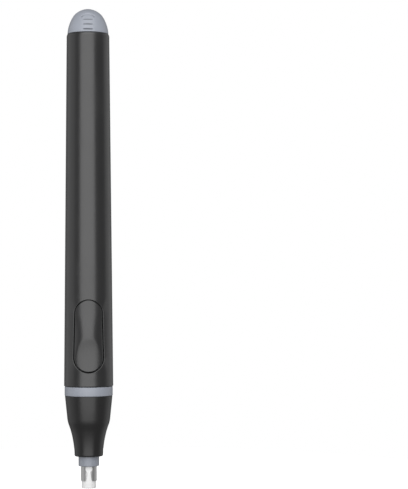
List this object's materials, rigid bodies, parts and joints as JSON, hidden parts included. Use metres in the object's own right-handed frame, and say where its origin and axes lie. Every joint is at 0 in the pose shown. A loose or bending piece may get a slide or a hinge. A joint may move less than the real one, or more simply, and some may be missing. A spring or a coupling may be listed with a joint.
{
  "type": "electric eraser",
  "caption": "Battery eraser pen with a dished rocker button, pale trim and tail cap, and a motor that spins a white refill held in a steel clip.",
  "frame": {"origin": "centre of the refill's flat working tip, on the barrel's axis", "axes": "+Z along the barrel from the tip to the tail cap, -Y through the button, +X to the right seen from the button side"},
  "size_m": [0.0172, 0.0177, 0.1676],
  "materials": {
    "black_satin_plastic": "satin moulded black",
    "nose_plastic": "satin moulded black, a shade darker",
    "pale_grey_plastic": "semi-gloss pale blue grey",
    "eraser_vinyl": "matt white vinyl",
    "spring_steel": "bright sheet steel",
    "brass": "turned brass",
    "acetal_bush": "natural acetal",
    "chassis_plastic": "moulded dark grey",
    "motor_steel": "zinc plated steel",
    "magnet_ferrite": "sintered ferrite",
    "sintered_bronze": "oiled sintered bronze",
    "core_steel": "laminated steel",
    "enamelled_copper": "enamelled copper wire",
    "nylon_white": "white nylon",
    "tinned_metal": "tinned strip",
    "board_laminate": "green solder mask over glass laminate",
    "switch_plastic": "black switch case",
    "plunger_plastic": "red switch plunger",
    "red_insulation": "red vinyl insulation",
    "black_insulation": "black vinyl insulation",
    "cell_can": "plated can",
    "cell_sleeve": "printed sleeve without lettering"
  },
  "bodies": {
    "root": {"nose_bush": "acetal_bush", "nose_cone": "nose_plastic", "trim_ring": "pale_grey_plastic", "barrel": "black_satin_plastic", "pivot_pin": "spring_steel", "switch_board": "board_laminate", "board_screws": "motor_steel", "switch_body": "switch_plastic", "chassis": "chassis_plastic", "motor_can": "motor_steel", "motor_front_bearing": "sintered_bronze", "motor_magnets": "magnet_ferrite", "motor_end_cap": "nylon_white", "motor_rear_bearing": "sintered_bronze", "motor_brushes": "brass", "motor_terminals": "tinned_metal", "motor_lead_red": "red_insulation", "motor_lead_black": "black_insulation", "cell_front": "cell_can", "cell_front_sleeve": "cell_sleeve", "cell_rear": "cell_can", "cell_rear_sleeve": "cell_sleeve", "front_contact": "tinned_metal", "return_strip": "tinned_metal"},
    "spindle": {"motor_shaft": "spring_steel", "rotor_core": "core_steel", "rotor_windings": "enamelled_copper", "commutator": "enamelled_copper", "shaft_insert": "brass", "chuck": "pale_grey_plastic"},
    "refill_holder": {"refill_holder": "spring_steel"},
    "eraser_refill": {"eraser_refill": "eraser_vinyl"},
    "button": {"button": "black_satin_plastic"},
    "switch_plunger": {"switch_plunger": "plunger_plastic"},
    "tail_cap": {"tail_cap": "pale_grey_plastic", "cap_contact": "tinned_metal", "cap_spring": "spring_steel"}
  },
  "joints": [
    {"name": "spindle_spin", "type": "hinge", "parent": "root", "child": "spindle", "pos_m": [0, 0, 0.03], "axis": [0, 0, 1], "continuous": true},
    {"name": "holder_slide", "type": "slide", "parent": "spindle", "child": "refill_holder", "axis": [0, 0, -1], "range_m": [0, 0.018]},
    {"name": "refill_slide", "type": "slide", "parent": "refill_holder", "child": "eraser_refill", "axis": [0, 0, -1], "range_m": [0, 0.021]},
    {"name": "button_press", "type": "hinge", "parent": "root", "child": "button", "pos_m": [0, -0.004, 0.0614], "axis": [1, 0, 0], "range_deg": [0, 2.3], "stiffness_Nm_per_rad": 0.2},
    {"name": "plunger_press", "type": "slide", "parent": "root", "child": "switch_plunger", "axis": [0, 1, 0], "range_m": [0, 0.00021]},
    {"name": "cap_pull", "type": "slide", "parent": "root", "child": "tail_cap", "axis": [0, 0, 1], "range_m": [0, 0.015]}
  ],
  "couplings": [
    {"joint": "plunger_press", "follows": "button_press", "m_per_rad": 0.0049}
  ]
}
